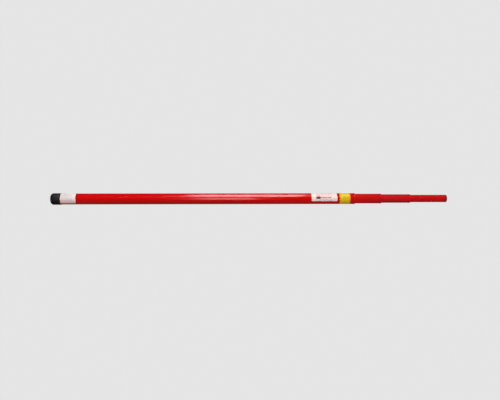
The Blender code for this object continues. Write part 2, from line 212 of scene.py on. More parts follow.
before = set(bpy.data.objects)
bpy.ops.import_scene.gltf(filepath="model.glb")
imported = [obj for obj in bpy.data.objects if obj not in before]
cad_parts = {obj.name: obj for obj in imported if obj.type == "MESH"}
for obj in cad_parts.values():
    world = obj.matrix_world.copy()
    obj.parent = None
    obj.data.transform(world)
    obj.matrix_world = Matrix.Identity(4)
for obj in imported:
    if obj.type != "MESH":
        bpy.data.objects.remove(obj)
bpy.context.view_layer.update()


# ---------------------------------------------------------------------------------------------
# Places
# ---------------------------------------------------------------------------------------------


def span(node):
    """Where a node starts and ends along the pole."""
    low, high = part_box(node)
    return low[0], high[0]


def radius(node):
    low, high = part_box(node)
    return (high[2] - low[2]) / 2


def bore(name):
    """The bore radius of a section's tube."""
    return radius(name + "_tube") - TUBE_WALL


AXIS = sum(corner[2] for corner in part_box("outer_tube")) / 2


def on_pole(x, r, angle):
    """A point r off the axis at an angle counted from the front up over the top."""
    return Vector((x, -r * math.cos(angle), AXIS + r * math.sin(angle)))


def arc(centre_x, centre_r, size, start, stop, steps):
    """Outline points on a round stretch, with angles in degrees from +X towards larger radius."""
    points = []
    for step in range(steps + 1):
        angle = math.radians(start + (stop - start) * step / steps)
        points.append((centre_x + size * math.cos(angle), centre_r + size * math.sin(angle)))
    return points


def smooth_step(t):
    t = min(1.0, max(0.0, t))
    return t * t * (3 - 2 * t)


# ---------------------------------------------------------------------------------------------
# Meshes
# ---------------------------------------------------------------------------------------------


def finish_mesh(bm, name, sharp):
    bmesh.ops.remove_doubles(bm, verts=bm.verts, dist=1e-7)
    bmesh.ops.recalc_face_normals(bm, faces=bm.faces)
    mesh = bpy.data.meshes.new(name)
    bm.to_mesh(mesh)
    bm.free()
    mesh.shade_smooth()
    mesh.set_sharp_from_angle(angle=math.radians(sharp))
    return mesh


def add_piece(name, bm, look, body, node, sharp=35):
    """Makes a piece from bm, which rides on a body and stands for a CAD node."""
    mesh = finish_mesh(bm, name, sharp)
    piece = bpy.data.objects.new(name, mesh)
    bpy.context.scene.collection.objects.link(piece)
    mesh.materials.append(look)
    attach(piece, body)
    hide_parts(node)


def lathe(outline, sides=SIDES, shape=None):
    """A closed solid of revolution about the pole's axis from its (x, radius) outline: a closed
    loop, or open where both ends lie on the axis. shape(x, radius, angle) can change a radius."""
    bm = bmesh.new()
    rings = []
    for x, r in outline:
        if r == 0.0:
            rings.append([bm.verts.new((x, 0.0, AXIS))])
            continue
        ring = []
        for side in range(sides):
            angle = 2 * math.pi * side / sides
            ring.append(bm.verts.new(on_pole(x, shape(x, r, angle) if shape else r, angle)))
        rings.append(ring)
    pairs = list(zip(rings, rings[1:]))
    if outline[0][1] or outline[-1][1]:
        pairs.append((rings[-1], rings[0]))
    for first, second in pairs:
        for side in range(sides):
            after = (side + 1) % sides
            corners = [
                first[side % len(first)], first[after % len(first)],
                second[after % len(second)], second[side % len(second)],
            ]
            corners = list(dict.fromkeys(corners))
            if len(corners) > 2:
                bm.faces.new(corners)
    return bm


def hexagon(flats, angle):
    """The radius of a hexagon with this size across its flats, with a corner at the top."""
    return flats / 2 / math.cos((angle - math.pi / 2) % (math.pi / 3) - math.pi / 6)


def thread_wave(x, angle, pitch):
    """0 at the root of a right-hand thread and 1 at its crest, with flats on both."""
    phase = (x / pitch + angle / (2 * math.pi)) % 1.0
    flank = 0.5 - 2 * THREAD_FLAT
    return min(1.0, max(0.0, (abs(phase - 0.5) - THREAD_FLAT) / flank))


def cut(bm, other, operation="DIFFERENCE"):
    """The Boolean of two closed meshes, which are both used up."""
    made = []
    for part in (bm, other):
        bmesh.ops.remove_doubles(part, verts=part.verts, dist=1e-7)
        bmesh.ops.recalc_face_normals(part, faces=part.faces)
        mesh = bpy.data.meshes.new("shape")
        part.to_mesh(mesh)
        part.free()
        made.append(bpy.data.objects.new("shape", mesh))
        bpy.context.scene.collection.objects.link(made[-1])
    target, cutter = made
    modifier = target.modifiers.new("cut", "BOOLEAN")
    modifier.operation = operation
    modifier.object = cutter
    modifier.solver = "MANIFOLD"
    graph = bpy.context.evaluated_depsgraph_get()
    result = bmesh.new()
    result.from_object(target, graph)
    for part in made:
        mesh = part.data
        bpy.data.objects.remove(part)
        bpy.data.meshes.remove(mesh)
    return result


def rod(x, r, reach, angle=0.0):
    """A round cutter right across the pole at X position x, turned from the front by an angle."""
    bm = bmesh.new()
    turn = Matrix.Rotation(-angle, 4, "X") @ Matrix.Rotation(math.pi / 2, 4, "X")
    bmesh.ops.create_cone(
        bm, cap_ends=True, segments=PIN_SIDES, radius1=r, radius2=r, depth=2 * reach,
        matrix=Matrix.Translation((x, 0.0, AXIS)) @ turn,
    )
    return bm


def block(low, high):
    bm = bmesh.new()
    size = Vector(high) - Vector(low)
    place = Matrix.Translation((Vector(high) + Vector(low)) / 2) @ Matrix.Diagonal((*size, 1.0))
    bmesh.ops.create_cube(bm, size=1.0, matrix=place)
    return bm


def middle(node):
    """A node's middle along the pole."""
    return sum(span(node)) / 2


def pin_stations(name):
    """Where a section's cross pins are."""
    nodes = {"outer": (), "tip": ("tip_plug_pin", "tip_ferrule_pin")}
    return [middle(node) for node in nodes.get(name, (name + "_plug_pin",))]


def pin_rings(x):
    """Stations on both sides of a pin's hole, which keep the shading clean round it."""
    near, far = PIN_RINGS
    return [x - far, x - near, x + near, x + far]


# ---------------------------------------------------------------------------------------------
# Looks
# ---------------------------------------------------------------------------------------------


class Look:
    """A node material with a Principled shader, and short names for the nodes that it needs."""

    def __init__(self, name, specular=0.5, metallic=0.0):
        self.material = bpy.data.materials.new(name)
        self.material.use_nodes = True
        self.nodes = self.material.node_tree.nodes
        self.links = self.material.node_tree.links
        self.shader = self.nodes["Principled BSDF"]
        self.set("Specular IOR Level", specular)
        self.set("Metallic", metallic)
        coordinates = self.nodes.new("ShaderNodeTexCoord")
        self.place = coordinates.outputs["Object"]
        self.uv = coordinates.outputs["UV"]

    def set(self, socket, value):
        self.shader.inputs[socket].default_value = value

    def link(self, source, target):
        self.links.new(source, target)

    def scaled(self, scale):
        """Object coordinates multiplied by a scale for each axis."""
        node = self.nodes.new("ShaderNodeMapping")
        node.inputs["Scale"].default_value = scale
        self.link(self.place, node.inputs["Vector"])
        return node.outputs["Vector"]

    def noise(self, scale, detail=4.0, stretch=(1, 1, 1)):
        node = self.nodes.new("ShaderNodeTexNoise")
        node.inputs["Scale"].default_value = scale
        node.inputs["Detail"].default_value = detail
        self.link(self.scaled(stretch), node.inputs["Vector"])
        return node.outputs["Fac"]

    def axis(self, index, source=None):
        node = self.nodes.new("ShaderNodeSeparateXYZ")
        self.link(source or self.place, node.inputs[0])
        return node.outputs[index]

    def math(self, operation, a, b=None):
        node = self.nodes.new("ShaderNodeMath")
        node.operation = operation
        for socket, value in zip(node.inputs, (a, b)):
            if isinstance(value, (int, float)):
                socket.default_value = value
            elif value is not None:
                self.link(value, socket)
        return node.outputs[0]

    def spread(self, value, low, high, to_low=0.0, to_high=1.0):
        """Maps a value from one range to another, clamped and smoothed."""
        node = self.nodes.new("ShaderNodeMapRange")
        node.interpolation_type = "SMOOTHSTEP"
        for name, number in (
            ("From Min", low), ("From Max", high), ("To Min", to_low), ("To Max", to_high),
        ):
            node.inputs[name].default_value = number
        self.link(value, node.inputs["Value"])
        return node.outputs["Result"]

    def mix(self, share, a, b):
        """Mixes two colours. Each is a colour or a node's output."""
        node = self.nodes.new("ShaderNodeMix")
        node.data_type = "RGBA"
        self.link(share, node.inputs[0])
        for socket, value in ((node.inputs[6], a), (node.inputs[7], b)):
            if isinstance(value, tuple):
                socket.default_value = (*value, 1.0)
            else:
                self.link(value, socket)
        return node.outputs[2]

    def colour(self, source):
        self.link(source, self.shader.inputs["Base Color"])

    def roughness(self, source):
        self.link(source, self.shader.inputs["Roughness"])

    def bump(self, height, distance, strength):
        node = self.nodes.new("ShaderNodeBump")
        node.inputs["Distance"].default_value = distance
        node.inputs["Strength"].default_value = strength
        self.link(height, node.inputs["Height"])
        self.link(node.outputs["Normal"], self.shader.inputs["Normal"])

    def bar(self, low, high, soft=0.25 * MM):
        """1 inside a rectangle of the print, given by two (u, v) corners, and 0 outside."""
        inside = None
        for index in range(2):
            along = self.axis(index, self.uv)
            for edge, beyond in ((low[index], -soft), (high[index], soft)):
                side = self.spread(along, edge + beyond, edge - beyond)
                inside = self.math("MULTIPLY", inside, side) if inside else side
        return inside

    def words(self, low, high, seed, gap=0.44):
        """A bar broken into lengths like a line of small print, with no letters."""
        node = self.nodes.new("ShaderNodeTexNoise")
        node.noise_dimensions = "1D"
        node.inputs["Scale"].default_value = 420.0
        node.inputs["Detail"].default_value = 1.0
        self.link(self.math("ADD", self.axis(0, self.uv), seed), node.inputs["W"])
        breaks = self.spread(node.outputs["Fac"], gap - 0.02, gap + 0.02)
        return self.math("MULTIPLY", self.bar(low, high, 0.15 * MM), breaks)


def lacquer(name, base, deep, rubbed):
    """Gloss red lacquer on drawn tube, with fine lengthwise scratches. The inner sections are more
    rubbed by sliding."""
    look = Look(name, specular=0.4)
    streaks = look.noise(260.0, 3.0, (0.02, 1, 1))
    clouds = look.noise(9.0, 3.0, (0.5, 1, 1))
    shade = look.math("ADD", look.math("MULTIPLY", streaks, 0.5), look.math("MULTIPLY", clouds, 0.5))
    look.colour(look.mix(look.spread(shade, 0.35, 0.65), deep, base))
    scratches = look.spread(look.noise(900.0, 2.0, (0.012, 1, 1)), 0.62, 0.72)
    smears = look.noise(30.0, 4.0, (0.3, 1, 1))
    look.roughness(look.math(
        "ADD", look.spread(smears, 0.3, 0.7, 0.12, 0.20), look.math("MULTIPLY", scratches, rubbed),
    ))
    peel = look.noise(420.0, 2.0)
    look.bump(look.math("SUBTRACT", look.math("MULTIPLY", peel, 0.25), scratches), 0.02 * MM, 0.2)
    return look.material


def moulded(name, base, deep, roughness=0.35, grain=900.0, specular=0.3):
    """Moulded plastic with a fine spark-eroded grain."""
    look = Look(name, specular=specular)
    look.colour(look.mix(look.spread(look.noise(60.0, 3.0), 0.35, 0.65), deep, base))
    grains = look.noise(grain, 3.0)
    look.roughness(look.spread(grains, 0.3, 0.7, roughness - 0.06, roughness + 0.1))
    look.bump(grains, 0.05 * MM, 0.3)
    return look.material


def soft_vinyl():
    """The butt cap's dip-moulded vinyl: a leathery satin, with dust in the grain and a paler end,
    partly scuffing and partly a painted highlight where light catches the rounded rim."""
    look = Look("butt_cap_vinyl", specular=0.35)
    look.set("Sheen Weight", 0.05)
    look.set("Sheen Roughness", 0.35)
    grain = look.noise(700.0)
    blotches = look.noise(45.0)
    body = look.mix(look.spread(blotches, 0.35, 0.65), (0.006, 0.005, 0.006), (0.010, 0.008, 0.010))
    start = span("butt_cap")[0]
    # The paler end is partly scuff wear and partly a painted highlight: the rounded rim catching
    # light, painted into the colour.
    scuff_and_rim_light = look.spread(look.axis(0), start + CAP_SCUFF_AND_RIM_LIGHT[0], start + CAP_SCUFF_AND_RIM_LIGHT[1])
    scuff_and_rim_light = look.math("MULTIPLY", scuff_and_rim_light, look.spread(blotches, 0.3, 0.6, 0.3, 1.0))
    look.colour(look.mix(scuff_and_rim_light, body, (0.060, 0.057, 0.060)))
    look.roughness(look.spread(grain, 0.3, 0.7, 0.42, 0.6))
    look.bump(grain, 0.08 * MM, 0.4)
    return look.material


def rubber():
    look = Look("bumper_rubber", specular=0.3)
    grain = look.noise(500.0)
    look.colour(look.mix(look.spread(grain, 0.3, 0.7), (0.018, 0.018, 0.018), (0.035, 0.034, 0.033)))
    look.roughness(look.spread(grain, 0.3, 0.7, 0.75, 0.9))
    look.bump(grain, 0.1 * MM, 0.5)
    return look.material


def zinc():
    """Bright zinc plating with a slight yellow and blue cast in patches."""
    look = Look("zinc_plating", metallic=1.0)
    patches = look.noise(140.0)
    look.colour(look.mix(look.spread(patches, 0.35, 0.65), (0.55, 0.57, 0.62), (0.68, 0.66, 0.60)))
    fine = look.noise(1500.0, 3.0)
    look.roughness(look.spread(fine, 0.3, 0.7, 0.24, 0.4))
    look.bump(fine, 0.02 * MM, 0.3)
    return look.material


def printed_film(name, base, deep, prints):
    """Printed vinyl film: a slightly mottled ground, then each print's colour laid over it."""
    look = Look(name, specular=0.18)
    ground = look.mix(look.spread(look.noise(160.0), 0.3, 0.7), deep, base)
    for share, colour, mask in prints(look):
        ground = look.mix(look.math("MULTIPLY", mask, share), ground, colour)
    look.colour(ground)
    look.roughness(look.spread(look.noise(70.0, 3.0), 0.3, 0.7, 0.32, 0.50))
    look.bump(look.noise(350.0, 3.0), 0.03 * MM, 0.3)
    return look.material


def rows(count, first, pitch):
    """Each row's number and lower edge, where the first edge and the pitch are in millimetres."""
    return [(row, (first + pitch * row) * MM) for row in range(count)]


def rating_prints(look):
    """Faint grey rows of small print that can't be read, over a pale pink lower part."""
    yield 0.5, PINK, look.bar((0.0, 0.0), (48.0 * MM, 14.0 * MM), 2.0 * MM)
    for row, v in rows(7, 12.0, 4.2):
        right = (40.0 - 7.0 * (row % 3 == 2)) * MM
        yield 0.6, GREY, look.words((3.0 * MM, v), (right, v + 1.9 * MM), 0.37 * row, 0.40)


def product_prints(look):
    """A plain dark red block with a thin rule, pale red rows above it and grey rows below."""
    yield 0.6, PEACH, look.bar((0.0, 0.0), (12.0 * MM, 50.0 * MM), 2.0 * MM)
    for row, v in rows(4, 17.0, 4.4):
        yield 0.65, ROSE, look.words((33.0 * MM, v), (72.0 * MM, v + 2.9 * MM), 0.61 * row, 0.36)
    for row, v in rows(2, 2.0, 3.6):
        yield 0.6, BROWN, look.words((22.0 * MM, v), (70.0 * MM, v + 1.5 * MM), 0.23 * row, 0.40)
    yield 0.9, RULE_RED, look.bar((29.0 * MM, 11.3 * MM), (66.0 * MM, 14.1 * MM))
    yield 0.9, RULE_END_RED, look.bar((62.0 * MM, 10.7 * MM), (68.0 * MM, 14.9 * MM))
    for row, v in rows(4, 17.8, 2.6):
        high = v + (1.9 - 0.25 * row) * MM
        yield 0.75, STRIPE_RED, look.bar((16.0 * MM, v), (30.0 * MM, high))
    yield 0.95, BLOCK_RED, look.bar((15.5 * MM, 8.6 * MM), (30.5 * MM, 16.6 * MM))


def band_prints(look):
    """Olive panels and dark rules, repeated round the band between orange edges."""
    for panel, v in rows(5, 4.0, 24.0):
        yield 0.8, OLIVE, look.bar((11.0 * MM, v), (21.0 * MM, v + 16.0 * MM))
        for line, above in rows(2, 5.0, 5.0):
            low = v + above
            words = look.words((22.5 * MM, low), (33.0 * MM, low + 1.5 * MM), 0.4 * panel + line)
            yield 0.7, UMBER, words
    for left, right in ((0.0, 3.6), (34.0, 38.0)):
        yield 0.8, ORANGE, look.bar((left * MM, 0.0), (right * MM, PAST_BAND))


# ---------------------------------------------------------------------------------------------
# Outside pieces
# ---------------------------------------------------------------------------------------------


def tube(name, look):
    """A section's tube, with slightly rounded edges and the holes for its pins."""
    node = name + "_tube"
    start, end = span(node)
    outer = radius(node)
    pins = pin_stations(name)
    outside = [point for x in pins for point in pin_rings(x)]
    outline = [
        (start, bore(name)), *arc(start + TUBE_EDGE, outer - TUBE_EDGE, TUBE_EDGE, 180, 90, 3),
        *((x, outer) for x in outside),
        *arc(end - TUBE_EDGE, outer - TUBE_EDGE, TUBE_EDGE, 90, 0, 3), (end, bore(name)),
        *((x, bore(name)) for x in reversed(outside)),
    ]
    bm = lathe(outline)
    for x in pins:
        bm = cut(bm, rod(x, PIN_HOLE, outer + CUT_MARGIN))
    add_piece(node + "_round", bm, look, name + "_section", node)


def cap():
    """The butt cap: a rounded end with a shallow dish, and a groove behind its open rim."""
    start, end = span("butt_cap")
    outer = radius("butt_cap")
    inside = radius("outer_tube") + GLUE_GAP
    lip = (outer - inside) * CAP_LIP
    dish = start + CAP_DISH
    back, front = (end - place for place in CAP_GROOVE)
    outline = [
        (dish - CAP_RELIEF, 0.0), (dish - CAP_RELIEF, CAP_SPRUE[0]), (dish, CAP_SPRUE[1]),
        (dish, CAP_RING[0]), (dish + CAP_RELIEF, CAP_RING[0] + CAP_RELIEF),
        (dish + CAP_RELIEF, CAP_RING[1] - CAP_RELIEF), (dish, CAP_RING[1]),
        (dish, CAP_DISH_EDGE[0]), (dish - CAP_DISH / 2, CAP_DISH_EDGE[1]),
        *arc(start + CAP_ROUNDING, outer - CAP_ROUNDING, CAP_ROUNDING, 180, 90, 18),
        (back, outer), (back + CAP_GROOVE_SIDE, outer - CAP_GROOVE_DEPTH),
        (front - CAP_GROOVE_SIDE, outer - CAP_GROOVE_DEPTH), (front, outer),
        *arc(end - lip, outer - lip, lip, 90, 0, 5),
        (end, inside), (start + CAP_FLOOR, inside), (start + CAP_FLOOR, 0.0),
    ]
    add_piece("butt_cap_round", lathe(outline), soft_vinyl(), "outer_section", "butt_cap")


def bushes():
    look = moulded("bush_plastic", (0.56, 0.004, 0.003), (0.50, 0.003, 0.003), specular=0.18)
    for name in ("outer", "second", "third"):
        node = name + "_mouth_bush"
        start, end = span(node)
        outer = radius(node)
        shoulder = span(name + "_tube")[1] + FACE_GAP
        sleeve = bore(name) - GLUE_GAP
        inside = bore(name) - BUSH_BORE
        outline = [
            (start, inside), (start, sleeve - BUSH_TAPER[1]), (start + BUSH_TAPER[0], sleeve),
            (shoulder, sleeve), (shoulder, outer - BUSH_BREAK), (shoulder + BUSH_BREAK, outer),
            *arc(end - BUSH_EDGE, outer - BUSH_EDGE, BUSH_EDGE, 90, 15, 5),
            (end, inside + BUSH_LEAD), (end - BUSH_LEAD, inside),
        ]
        add_piece(node + "_round", lathe(outline), look, name + "_section", node)


def film(node, look, angles, corner, lap=0.0):
    """A thin film wrapped on the outer tube, with rounded corners and a UV map in metres: u along
    the pole from its left end, v round it from its lower edge. With a lap, its last stretch climbs
    over its own start."""
    start, end = span(node)
    base = radius("outer_tube") + FILM_GAP
    across = (angles[1] - angles[0]) * base
    curve = []
    if corner:
        turns = [math.pi / 2 * step / CORNER_STEPS for step in range(CORNER_STEPS)]
        curve = [corner * (1 - math.cos(turn)) for turn in turns]
    steps = round((angles[1] - angles[0]) / FILM_ROW)
    flat = [corner + (across - 2 * corner) * step / steps for step in range(steps + 1)]
    heights = [*curve, *flat, *(across - v for v in reversed(curve))]

    bm = bmesh.new()
    uv = bm.loops.layers.uv.new("print")
    grids = []
    for layer in (base, base + FILM):
        grid = []
        for v in heights:
            short = max(0.0, corner - min(v, across - v))
            inset = corner - math.sqrt(max(0.0, corner**2 - short**2))
            climb = lap * smooth_step((v - across + LAP_LENGTH) / LAP_CLIMB)
            row = []
            for column in range(FILM_COLUMNS + 1):
                x = start + inset + (end - start - 2 * inset) * column / FILM_COLUMNS
                vert = bm.verts.new(on_pole(x, layer + climb, angles[0] + v / base))
                row.append((vert, (x - start, v)))
            grid.append(row)
        grids.append(grid)

    def add_face(*corners):
        face = bm.faces.new([vert for vert, _ in corners])
        for loop, (_, place) in zip(face.loops, corners):
            loop[uv].uv = place

    inner, outer = grids
    for grid in grids:
        for low, high in zip(grid, grid[1:]):
            for a in range(FILM_COLUMNS):
                add_face(low[a], low[a + 1], high[a + 1], high[a])
    for row in (0, -1):
        for a in range(FILM_COLUMNS):
            add_face(inner[row][a], inner[row][a + 1], outer[row][a + 1], outer[row][a])
    for side in (0, -1):
        for a in range(len(heights) - 1):
            add_face(inner[a][side], inner[a + 1][side], outer[a + 1][side], outer[a][side])
    add_piece(node + "_film", bm, look, "outer_section", node, sharp=60)


def labels():
    rating = printed_film(
        "rating_film", (0.86, 0.78, 0.755), (0.80, 0.72, 0.695), rating_prints,
    )
    product = printed_film(
        "product_film", (0.90, 0.71, 0.67), (0.86, 0.66, 0.62), product_prints,
    )
    band = printed_film("band_film", (0.80, 0.54, 0.006), (0.74, 0.48, 0.004), band_prints)
    film("rating_label", rating, RATING_ARC, CORNER)
    film("product_label", product, PRODUCT_ARC, CORNER)
    film("caution_band", band, BAND_ARC, 0.0, BAND_LAP)


def tip_end(look):
    """The ferrule with its threaded socket, and the ring round the socket's mouth."""
    start, end = span("tip_ferrule")
    outer = radius("tip_ferrule")
    shoulder = end - FERRULE_BARREL
    spigot = bore("tip") - GLUE_GAP
    face = span("tip_ring")[1]
    floor = face - SOCKET_DEPTH
    steps = int((end - floor - SOCKET_PLAIN) / THREAD_PITCH * THREAD_RINGS)
    threaded = [(end - step * THREAD_PITCH / THREAD_RINGS, THREAD_TOP) for step in range(steps + 1)]

    def shape(x, r, angle):
        if r != THREAD_TOP:
            return r
        fade = smooth_step((x - floor - SOCKET_GROWTH[0]) / SOCKET_GROWTH[1])
        lead = smooth_step((x - end + SOCKET_LEAD) / SOCKET_LEAD)
        wave = thread_wave(x, angle, THREAD_PITCH)
        depth = (THREAD_BOTTOM - THREAD_TOP) * fade
        return THREAD_TOP + depth * max(1 - wave, lead)

    pin_x = middle("tip_ferrule_pin")
    outline = [
        (start, 0.0), *arc(start + FERRULE_EDGE, spigot - FERRULE_EDGE, FERRULE_EDGE, 180, 90, 3),
        *((x, spigot) for x in pin_rings(pin_x)), (shoulder, spigot),
        *arc(shoulder + FERRULE_BREAK, outer - FERRULE_BREAK, FERRULE_BREAK, 180, 90, 3),
        *arc(end - FERRULE_BREAK, outer - FERRULE_BREAK, FERRULE_BREAK, 90, 0, 3),
        *threaded, (floor, THREAD_TOP - SOCKET_FLOOR[1]), (floor - SOCKET_FLOOR[0], 0.0),
    ]
    ferrule = cut(lathe(outline, shape=shape), rod(pin_x, PIN_HOLE, outer + CUT_MARGIN))
    add_piece("tip_ferrule_threaded", ferrule, look, "tip_section", "tip_ferrule")

    back = span("tip_ring")[0]
    rim = radius("tip_ring")
    outline = [
        (back, RING_BORE), (back, rim - RING_BREAK), (back + RING_BREAK, rim),
        *arc(face - RING_ROUNDING, rim - RING_ROUNDING, RING_ROUNDING, 90, 0, 7),
        (face, RING_BORE + RING_LEAD), (face - RING_LEAD, RING_BORE),
    ]
    crimson = moulded("tip_ring_plastic", (0.34, 0.006, 0.014), (0.28, 0.004, 0.011), 0.3)
    add_piece("tip_ring_round", lathe(outline), crimson, "tip_section", "tip_ring")


# ---------------------------------------------------------------------------------------------
# Inside pieces
# ---------------------------------------------------------------------------------------------


def bumper(look):
    start, end = span("butt_bumper")
    outer = radius("butt_bumper")
    outline = [(start, 0.0), (start, outer - BUMPER_CHAMFER), (start + BUMPER_CHAMFER, outer)]
    for groove in BUMPER_GROOVES:
        x = start + groove
        outline += [
            (x - BUMPER_GROOVE_HALF, outer), (x, outer - BUMPER_GROOVE_DEPTH),
            (x + BUMPER_GROOVE_HALF, outer),
        ]
    outline += [*arc(end - BUMPER_EDGE, outer - BUMPER_EDGE, BUMPER_EDGE, 90, 0, 5), (end, 0.0)]
    add_piece("butt_bumper_ribbed", lathe(outline), look, "outer_section", "butt_bumper")


def pin(node, body, look):
    """A cross pin with chamfered ends."""
    low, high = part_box(node)
    centre = (Vector(low) + Vector(high)) / 2
    reach = (high[1] - low[1]) / 2
    size = radius(node)
    bm = bmesh.new()
    for r, depth in ((size, reach - PIN_CHAMFER), (size - PIN_CHAMFER, reach)):
        for side in (-1, 1):
            for step in range(PIN_SIDES):
                angle = 2 * math.pi * step / PIN_SIDES
                place = Vector((r * math.cos(angle), side * depth, r * math.sin(angle)))
                bm.verts.new(centre + place)
    bmesh.ops.convex_hull(bm, input=bm.verts)
    add_piece(node + "_chamfered", bm, look, body, node)


def lock_plug(name, body, look):
    """The plug: a grooved collar, a spigot with a chamfered end, a hexagonal seat for the screw's
    head and a hollow behind it."""
    node = name + "_lock_plug"
    back = span(node)[0]
    start = span(name + "_tube")[0]
    collar = radius(node)
    front = start - FACE_GAP
    end = start + PLUG_SPIGOT
    spigot = bore(name) - GLUE_GAP
    cup = spigot - PLUG_CUP_WALL
    floor = start + PLUG_CUP_FLOOR
    seat = SEAT_FLATS / 2
    pin_x = middle(name + "_plug_pin")
    groove = (back + PLUG_GROOVE[0], back + PLUG_GROOVE[1])
    outline = [
        (back, SCREW_HOLE), (back, collar - PLUG_EDGE), (back + PLUG_EDGE, collar),
        (groove[0], collar), (groove[0] + PLUG_GROOVE_DEPTH, collar - PLUG_GROOVE_DEPTH),
        (groove[1] - PLUG_GROOVE_DEPTH, collar - PLUG_GROOVE_DEPTH), (groove[1], collar),
        (front, collar), (front, spigot), *((x, spigot) for x in pin_rings(pin_x)),
        (end - PLUG_EDGE, spigot), (end, spigot - PLUG_EDGE), (end, cup + PLUG_CUP_LIP),
        (end - PLUG_CUP_LIP, cup), (floor, cup), (floor, seat), (start + SEAT_START, seat),
        (start + SEAT_START, SCREW_HOLE),
    ]

    def shape(x, r, angle):
        return hexagon(SEAT_FLATS, angle) if r == seat else r

    plug = cut(lathe(outline, shape=shape), rod(pin_x, PIN_HOLE, collar))
    add_piece(node + "_moulded", plug, look, body, node)


def hex_outline(low, high, corner):
    """Outline points of a hexagonal head or nut with both ends of its corners chamfered."""
    half = HEX_CHAMFER / 2
    slope = corner - HEX_SLOPE
    flat = corner * math.sqrt(3) / 2
    return [
        (low, flat), (low + half, slope), (low + HEX_CHAMFER, corner),
        (high - HEX_CHAMFER, corner), (high - half, slope), (high, flat),
    ]


def lock_screw(name, body, look):
    """The screw, with a chamfered hexagonal head and its thread."""
    node = name + "_lock_screw"
    start, end = span(node)
    head = span(name + "_tube")[0] + SCREW_HEAD_START
    corner = radius(node)
    steps = int((head - start - SCREW_NECK) / SCREW_PITCH * SCREW_RINGS)
    core = SCREW_RADIUS - SCREW_DEPTH
    stations = [start + SCREW_POINT[0] + step * SCREW_PITCH / SCREW_RINGS for step in range(steps + 1)]

    def shape(x, r, angle):
        if r == core:
            fade = min(
                smooth_step((x - start - SCREW_GROWTH[0]) / SCREW_GROWTH[1]),
                smooth_step((head - SCREW_RUNOUT[0] - x) / SCREW_RUNOUT[1]),
            )
            plain = SCREW_RADIUS if x > (start + head) / 2 else core
            return plain + (core + SCREW_DEPTH * thread_wave(x, angle, SCREW_PITCH) - plain) * fade
        return min(r, hexagon(corner * math.sqrt(3), angle)) if x >= head else r

    outline = [
        (start, 0.0), (start, core - SCREW_POINT[1]), *((x, core) for x in stations),
        (head, SCREW_RADIUS), *hex_outline(head, end, corner), (end, 0.0),
    ]
    add_piece(node + "_threaded", lathe(outline, SMALL_SIDES, shape), look, body, node)


def end_nut(name, body, look):
    """A hexagonal nut with chamfered corners and a countersunk bore."""
    node = name + "_end_nut"
    start, end = span(node)
    corner = radius(node)
    hole = SCREW_RADIUS + NUT_CLEARANCE
    mouth = hole + NUT_SINK

    def shape(x, r, angle):
        return min(r, hexagon(corner * math.sqrt(3), angle)) if r > mouth else r

    outline = [
        (start, mouth), *hex_outline(start, end, corner), (end, mouth), (end - NUT_SINK, hole),
        (start + NUT_SINK, hole),
    ]
    add_piece(node + "_chamfered", lathe(outline, SMALL_SIDES, shape), look, body, node)


def thrust_washer(name, body, look):
    node = name + "_thrust_washer"
    start, end = span(node)
    outer = radius(node)
    hole = SCREW_RADIUS + WASHER_CLEARANCE
    outline = [
        (start, hole + WASHER_BREAK),
        *arc(start + WASHER_EDGE, outer - WASHER_EDGE, WASHER_EDGE, 180, 90, 3),
        *arc(end - WASHER_EDGE, outer - WASHER_EDGE, WASHER_EDGE, 90, 0, 3),
        (end, hole + WASHER_BREAK), (end - WASHER_BREAK, hole), (start + WASHER_BREAK, hole),
    ]
    add_piece(node + "_round", lathe(outline, SMALL_SIDES), look, body, node)


def expander_sleeve(name, body, look):
    """The split sleeve: a closed ring, and four fingers with a tapered bore and gripping ribs."""
    node = name + "_expander_sleeve"
    start, end = span(node)
    outer = radius(node)
    ring_end = start + SLEEVE_RING
    mouth = outer - SLEEVE_MOUTH_WALL
    root = mouth - (end - ring_end) * CONE_SLOPE
    hole = SCREW_RADIUS + SLEEVE_CLEARANCE
    outline = [
        (start, hole), (start, outer - SLEEVE_EDGE), (start + SLEEVE_EDGE, outer),
        (ring_end, outer),
    ]
    pitch = (end - ring_end - SLEEVE_PLAIN) / SLEEVE_RIBS
    valley = outer - SLEEVE_RIB_DEPTH
    for rib in range(SLEEVE_RIBS):
        x = ring_end + pitch * rib
        outline += [
            *((x + share * pitch, valley) for share in SLEEVE_VALLEY),
            (x + SLEEVE_RIB * pitch, outer), (x + pitch, outer),
        ]
    outline += [
        (end - SLEEVE_EDGE, outer), (end, outer - SLEEVE_EDGE), (end, mouth), (ring_end, root),
        (ring_end, hole),
    ]
    sleeve = lathe(outline)
    reach = outer + CUT_MARGIN
    half = SLOT_WIDTH / 2
    low = ring_end + SLOT_START
    for across, up in ((half, reach), (reach, half)):
        slot = block((low, -across, AXIS - up), (end + CUT_MARGIN, across, AXIS + up))
        sleeve = cut(sleeve, slot)
    for angle in (0.0, math.pi / 2):
        sleeve = cut(sleeve, rod(low, SLOT_ROUND, reach, angle))
    add_piece(node + "_ribbed", sleeve, look, body, node, sharp=30)


